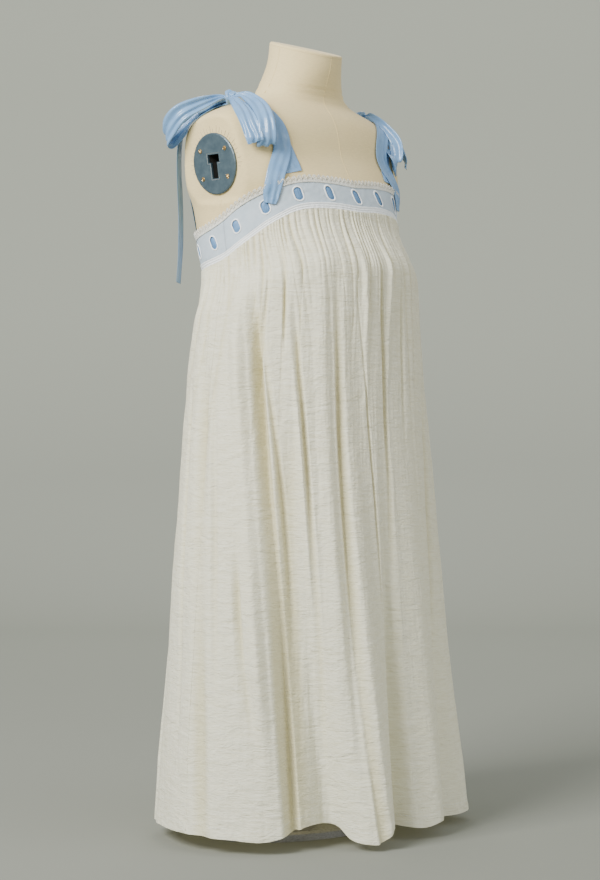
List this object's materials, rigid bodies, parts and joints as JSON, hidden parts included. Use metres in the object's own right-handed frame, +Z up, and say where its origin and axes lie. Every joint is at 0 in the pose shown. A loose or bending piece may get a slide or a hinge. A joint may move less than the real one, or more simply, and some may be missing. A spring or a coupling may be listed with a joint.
{
  "type": "chemise dress on a dress form",
  "caption": "Sleeveless gathered chemise with an eyelet band and ribbon straps tied in bows, worn by a limbless dress form on a small foot.",
  "frame": {"origin": "centre line of the pole at the flat underside of the foot", "axes": "+Z up along the pole, -Y towards the front of the dress, +X towards the wearer's left"},
  "size_m": [0.5296, 0.4245, 1.2176],
  "materials": {
    "gauze": "matte, sheer crinkled cotton",
    "insertion": "matte embroidered cotton insertion",
    "lace": "matte cotton lace and corded strip",
    "satin": "soft satin ribbon",
    "linen": "matte linen cover",
    "plate": "semi-gloss enamel",
    "brass": "polished",
    "steel": "brushed"
  },
  "bodies": {
    "root": {"skirt_front": "gauze", "skirt_back": "gauze", "band_front": "insertion", "band_back": "insertion", "lace_front": "lace", "lace_back": "lace", "heading_front": "lace", "heading_back": "lace", "ribbon_front": "satin", "ribbon_back": "satin", "strap_front_right": "satin", "strap_front_left": "satin", "strap_back_right": "satin", "strap_back_left": "satin", "knot_right": "satin", "knot_left": "satin", "loop_front_right": "satin", "loop_front_left": "satin", "loop_small_right": "satin", "loop_small_left": "satin", "loop_back_right": "satin", "loop_back_left": "satin", "tail_front_right": "satin", "tail_front_left": "satin", "tail_back_right": "satin", "tail_back_left": "satin", "form_torso": "linen", "neck_lid": "linen", "armhole_plate_right": "plate", "armhole_plate_left": "plate", "screw_right_1": "brass", "screw_right_2": "brass", "screw_right_3": "brass", "screw_right_4": "brass", "screw_left_1": "brass", "screw_left_2": "brass", "screw_left_3": "brass", "screw_left_4": "brass", "pole": "steel", "stand_foot": "steel"}
  },
  "joints": []
}
